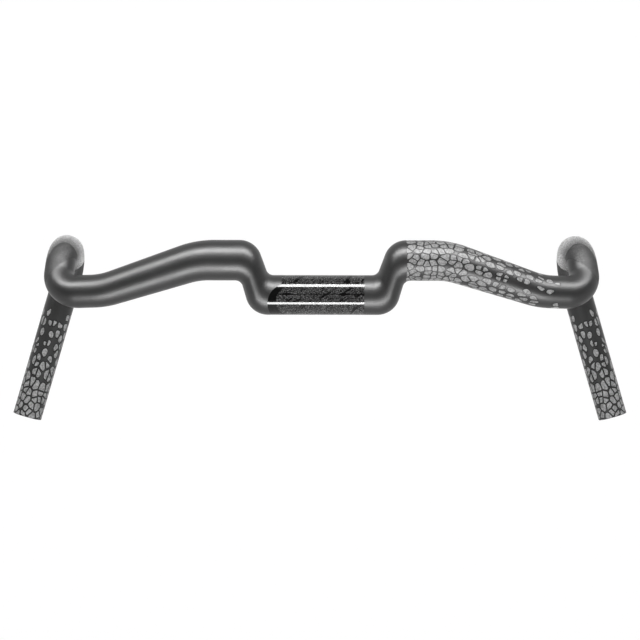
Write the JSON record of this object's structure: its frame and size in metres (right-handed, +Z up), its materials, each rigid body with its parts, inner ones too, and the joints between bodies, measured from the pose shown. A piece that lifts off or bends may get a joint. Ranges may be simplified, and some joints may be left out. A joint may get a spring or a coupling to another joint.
{
  "type": "gravel bicycle drop handlebar",
  "caption": "Carbon drop handlebar whose tops step forward and up beside the stem clamp, then fall to flared drops with open ends.",
  "frame": {"origin": "centre of the round stem clamp zone, on its axis and midway across the bar", "axes": "+X to the rider's right along the clamp's axis, +Y forward, +Z up; the drops slope 30 degrees down toward the rear"},
  "size_m": [0.5158, 0.1276, 0.1702],
  "materials": {
    "satin_carbon": "satin clear coat over carbon laminate, with a grey pebble-cell print"
  },
  "bodies": {
    "root": {"handlebar": "satin_carbon"}
  },
  "joints": []
}
